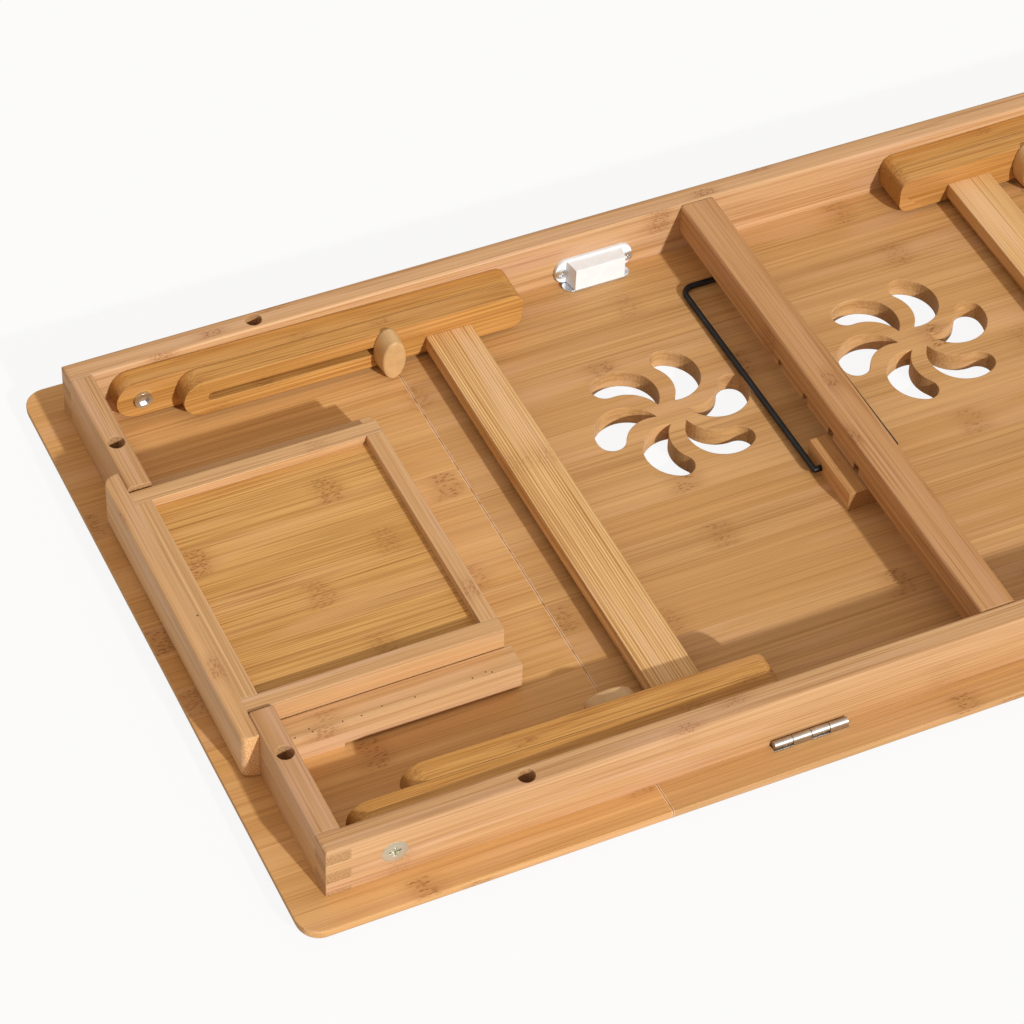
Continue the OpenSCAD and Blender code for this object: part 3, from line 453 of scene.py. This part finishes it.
def round_edges(piece, radius, segments, wanted):
    """Rounds the edges whose two ends both pass the test."""
    bpy.ops.object.mode_set(mode="EDIT")
    bpy.ops.mesh.select_mode(type="EDGE")
    bpy.ops.mesh.select_all(action="DESELECT")
    shape = bmesh.from_edit_mesh(piece.data)
    for edge in shape.edges:
        edge.select_set(all(wanted(*end.co) for end in edge.verts))
    bmesh.update_edit_mesh(piece.data)
    bpy.ops.mesh.bevel(offset=radius, segments=segments, affect="EDGES")
    bpy.ops.object.mode_set(mode="OBJECT")


hair_gap = 1e-5
outer_x = face_low.x + hair_gap
glued_x = face_high.x - hair_gap
round_edges(face_board, 0.0055, 10, lambda x, y, z: x < outer_x and y > face_high.y - hair_gap)
round_edges(face_board, 0.0030, 8, lambda x, y, z: x < outer_x and y < face_low.y + hair_gap)
round_edges(face_board, 0.0028, 6, lambda x, y, z: z < face_low.z + hair_gap and x < glued_x)
round_edges(face_board, 0.0009, 3, lambda x, y, z: z > face_high.z - hair_gap and x < glued_x)
bpy.ops.object.shade_smooth_by_angle(angle=math.radians(30.0))
face_board.data.materials.append(drawer_cross)
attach(face_board, "drawer")
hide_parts("drawer_face")

# ---- Runner brads ----------------------------------------------------------
# Fine brads, shot into the front runner while the glue sets, and one in the
# edge of the drawer's box. They have darkened in the wood.
runner_low, runner_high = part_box("runner_front")
brad_offsets = ((0.0052, 0.0006), (0.0126, 0.0029), (0.0134, 0.0008), (0.0275, 0.0012),
                (0.0363, 0.0010), (0.0465, 0.0025), (0.0617, 0.0016), (0.0891, 0.0017),
                (0.0958, 0.0027), (0.0984, 0.0015))  # along and across from the runner's corner
brad_tops = [(runner_low.x + x, runner_low.y + y, runner_high.z) for x, y in brad_offsets]
brad_steel = metal("brad_steel", (0.24, 0.14, 0.07), 0.6)
pins("runner_brads", "frame", 0.0004, brad_tops, brad_steel)
rim_low, rim_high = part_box("drawer_box_front")
rim_brad_top = (rim_low.x + 0.0010, rim_low.y + 0.0525, rim_high.z)
pins("drawer_rim_brad", "drawer", 0.0005, [rim_brad_top], pin_steel)

# ---- Floor and light -------------------------------------------------------
# Not part of the table: a white floor that keeps its shadow, a low key light
# from the front, a little to the right, and an even warm fill.
bpy.ops.object.select_all(action="DESELECT")
bpy.ops.mesh.primitive_plane_add(size=60.0, location=(0.0, 0.0, -0.0004))
floor = bpy.context.object
floor.name = "floor"
floor_material = bpy.data.materials.new("floor_white")
floor_material.use_nodes = True


def seen_rays(tree):
    """1 on rays that show a surface to the camera, straight or mirrored, 0 on the others."""
    path = tree.nodes.new("ShaderNodeLightPath")
    camera_ray, glossy_ray, clear_ray = [Socket(tree, path.outputs[name]) for name in
                                         ("Is Camera Ray", "Is Glossy Ray",
                                          "Is Transmission Ray")]
    return (camera_ray + glossy_ray + clear_ray).maths("MINIMUM", 1.0)


white = (1.0, 1.0, 1.0, 1.0)
floor_white = 0.9  # share of plain white in what is seen; the rest keeps the shadow
tree = floor_material.node_tree
tree.nodes.clear()
out = tree.nodes.new("ShaderNodeOutputMaterial")
paint = tree.nodes.new("ShaderNodeBsdfDiffuse")
paint.inputs["Color"].default_value = (0.70, 0.70, 0.70, 1.0)
glow = tree.nodes.new("ShaderNodeEmission")
glow.inputs["Color"].default_value = white
glow.inputs["Strength"].default_value = 1.0
cover = tree.nodes.new("ShaderNodeMixShader")
tree.links.new((seen_rays(tree) * floor_white).link, cover.inputs[0])
tree.links.new(paint.outputs[0], cover.inputs[1])
tree.links.new(glow.outputs[0], cover.inputs[2])
tree.links.new(cover.outputs[0], out.inputs["Surface"])
floor.data.materials.append(floor_material)

bpy.ops.object.light_add(type="SUN")
key = bpy.context.object
key.name = "key_light"
key.data.energy = 2.85
key.data.angle = math.radians(2.0)
key_run = (-0.0115, 0.057, -0.0306)  # where the light travels
key.rotation_euler = (math.atan2(key_run[1], -key_run[2]), 0.0,
                      math.atan2(-key_run[0], key_run[1]))

world = bpy.data.worlds.new("studio")
bpy.context.scene.world = world
world.use_nodes = True
tree = world.node_tree
tree.nodes.clear()
out = tree.nodes.new("ShaderNodeOutputWorld")
fill = tree.nodes.new("ShaderNodeBackground")
fill_color = (1.0, 0.84, 0.70, 1.0)
fill_strength = 0.60
seen = seen_rays(tree)
tree.links.new(seen.blend(fill_color, white).link, fill.inputs["Color"])
tree.links.new((fill_strength + seen * (1.0 - fill_strength)).link, fill.inputs["Strength"])
tree.links.new(fill.outputs[0], out.inputs["Surface"])

bpy.context.scene.view_settings.view_transform = "Standard"
